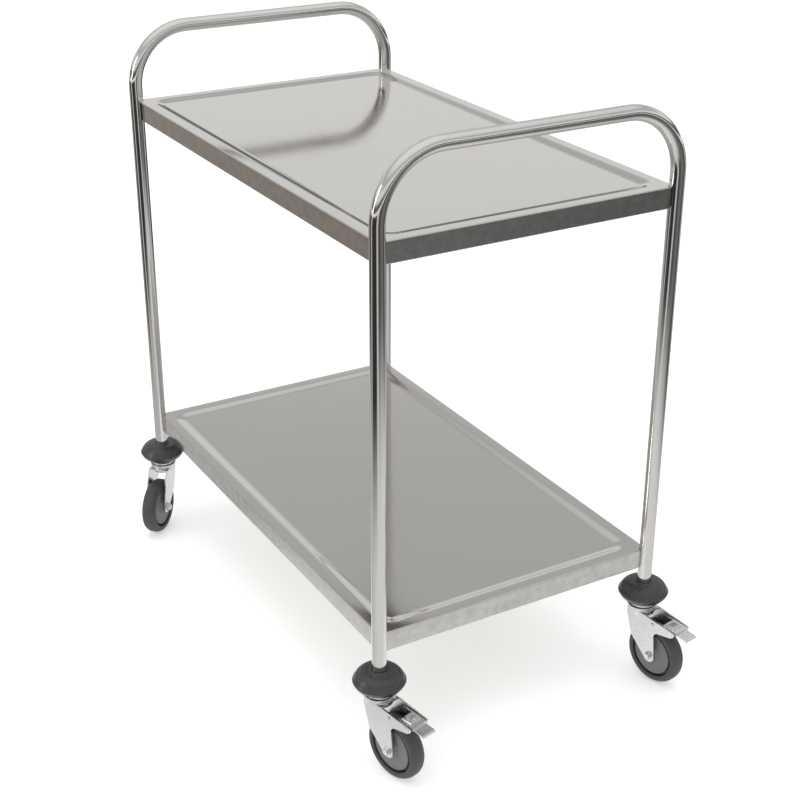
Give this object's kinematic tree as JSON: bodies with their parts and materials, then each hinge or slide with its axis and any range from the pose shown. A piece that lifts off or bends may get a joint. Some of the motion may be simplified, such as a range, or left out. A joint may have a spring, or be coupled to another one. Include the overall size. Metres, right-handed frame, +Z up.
{
  "type": "instrument cart",
  "caption": "Stainless steel instrument cart with an upper and a lower recessed shelf, bent tube handle frames, round buffers and swivel castors, those at one end with foot brakes.",
  "frame": {"origin": "on the floor, under the middle of the cart's overall box", "axes": "+X along the cart towards its braked end, +Y across the cart, +Z up"},
  "size_m": [0.9738, 0.586, 0.939],
  "materials": {
    "polished_stainless_tube": "polished stainless steel tube, mirror bright",
    "satin_stainless_sheet": "satin stainless steel sheet, cold rolled and lightly brushed",
    "zinc_plated_steel": "bright zinc plated pressed steel",
    "grey_bumper_rubber": "semi-gloss moulded grey rubber",
    "grey_tyre_rubber": "matt grey non-marking rubber",
    "grey_wheel_plastic": "moulded grey polypropylene",
    "black_nylon": "moulded black nylon"
  },
  "bodies": {
    "cart": {"near_handle_frame": "polished_stainless_tube", "far_handle_frame": "polished_stainless_tube", "upper_shelf": "satin_stainless_sheet", "upper_shelf_stiffener": "satin_stainless_sheet", "upper_shelf_bolt_near_left": "zinc_plated_steel", "upper_shelf_bolt_near_right": "zinc_plated_steel", "upper_shelf_bolt_far_left": "zinc_plated_steel", "upper_shelf_bolt_far_right": "zinc_plated_steel", "lower_shelf": "satin_stainless_sheet", "lower_shelf_stiffener": "satin_stainless_sheet", "lower_shelf_bolt_near_left": "zinc_plated_steel", "lower_shelf_bolt_near_right": "zinc_plated_steel", "lower_shelf_bolt_far_left": "zinc_plated_steel", "lower_shelf_bolt_far_right": "zinc_plated_steel", "near_left_bumper": "grey_bumper_rubber", "near_left_tube_plug": "black_nylon", "near_left_castor_stem": "zinc_plated_steel", "near_left_swivel_cap": "zinc_plated_steel", "near_right_bumper": "grey_bumper_rubber", "near_right_tube_plug": "black_nylon", "near_right_castor_stem": "zinc_plated_steel", "near_right_swivel_cap": "zinc_plated_steel", "far_left_bumper": "grey_bumper_rubber", "far_left_tube_plug": "black_nylon", "far_left_castor_stem": "zinc_plated_steel", "far_left_swivel_cap": "zinc_plated_steel", "far_right_bumper": "grey_bumper_rubber", "far_right_tube_plug": "black_nylon", "far_right_castor_stem": "zinc_plated_steel", "far_right_swivel_cap": "zinc_plated_steel"},
    "near_left_castor": {"near_left_fork": "zinc_plated_steel", "near_left_axle_bolt": "zinc_plated_steel", "near_left_axle_nut": "zinc_plated_steel", "near_left_axle_sleeve": "zinc_plated_steel"},
    "near_left_wheel_set": {"near_left_wheel": "grey_wheel_plastic", "near_left_tyre": "grey_tyre_rubber"},
    "near_left_brake": {"near_left_brake_pedal": "zinc_plated_steel", "near_left_brake_shoe": "black_nylon"},
    "near_right_castor": {"near_right_fork": "zinc_plated_steel", "near_right_axle_bolt": "zinc_plated_steel", "near_right_axle_nut": "zinc_plated_steel", "near_right_axle_sleeve": "zinc_plated_steel"},
    "near_right_wheel_set": {"near_right_wheel": "grey_wheel_plastic", "near_right_tyre": "grey_tyre_rubber"},
    "near_right_brake": {"near_right_brake_pedal": "zinc_plated_steel", "near_right_brake_shoe": "black_nylon"},
    "far_left_castor": {"far_left_fork": "zinc_plated_steel", "far_left_axle_bolt": "zinc_plated_steel", "far_left_axle_nut": "zinc_plated_steel", "far_left_axle_sleeve": "zinc_plated_steel"},
    "far_left_wheel_set": {"far_left_wheel": "grey_wheel_plastic", "far_left_tyre": "grey_tyre_rubber"},
    "far_right_castor": {"far_right_fork": "zinc_plated_steel", "far_right_axle_bolt": "zinc_plated_steel", "far_right_axle_nut": "zinc_plated_steel", "far_right_axle_sleeve": "zinc_plated_steel"},
    "far_right_wheel_set": {"far_right_wheel": "grey_wheel_plastic", "far_right_tyre": "grey_tyre_rubber"}
  },
  "joints": [
    {"name": "near_left_swivel", "type": "hinge", "parent": "cart", "child": "near_left_castor", "pos_m": [0.38257, -0.22652, 0.119], "axis": [0, 0, 1], "continuous": true},
    {"name": "near_left_roll", "type": "hinge", "parent": "near_left_castor", "child": "near_left_wheel_set", "pos_m": [0.4175, -0.21781, 0.05], "axis": [-0.2419, 0.9703, 0], "continuous": true},
    {"name": "near_left_brake_press", "type": "hinge", "parent": "near_left_castor", "child": "near_left_brake", "pos_m": [0.42041, -0.21708, 0.11], "axis": [-0.2419, 0.9703, 0], "range_deg": [0, 6]},
    {"name": "near_right_swivel", "type": "hinge", "parent": "cart", "child": "near_right_castor", "pos_m": [0.38257, 0.25348, 0.119], "axis": [0, 0, 1], "continuous": true},
    {"name": "near_right_roll", "type": "hinge", "parent": "near_right_castor", "child": "near_right_wheel_set", "pos_m": [0.41802, 0.25973, 0.05], "axis": [-0.1736, 0.9848, 0], "continuous": true},
    {"name": "near_right_brake_press", "type": "hinge", "parent": "near_right_castor", "child": "near_right_brake", "pos_m": [0.42098, 0.26026, 0.11], "axis": [-0.1736, 0.9848, 0], "range_deg": [0, 6]},
    {"name": "far_left_swivel", "type": "hinge", "parent": "cart", "child": "far_left_castor", "pos_m": [-0.44743, -0.22652, 0.119], "axis": [0, 0, 1], "continuous": true},
    {"name": "far_left_roll", "type": "hinge", "parent": "far_left_castor", "child": "far_left_wheel_set", "pos_m": [-0.42197, -0.25197, 0.05], "axis": [0.7071, 0.7071, 0], "continuous": true},
    {"name": "far_right_swivel", "type": "hinge", "parent": "cart", "child": "far_right_castor", "pos_m": [-0.44743, 0.25348, 0.119], "axis": [0, 0, 1], "continuous": true},
    {"name": "far_right_roll", "type": "hinge", "parent": "far_right_castor", "child": "far_right_wheel_set", "pos_m": [-0.4136, 0.24117, 0.05], "axis": [0.342, 0.9397, 0], "continuous": true}
  ]
}
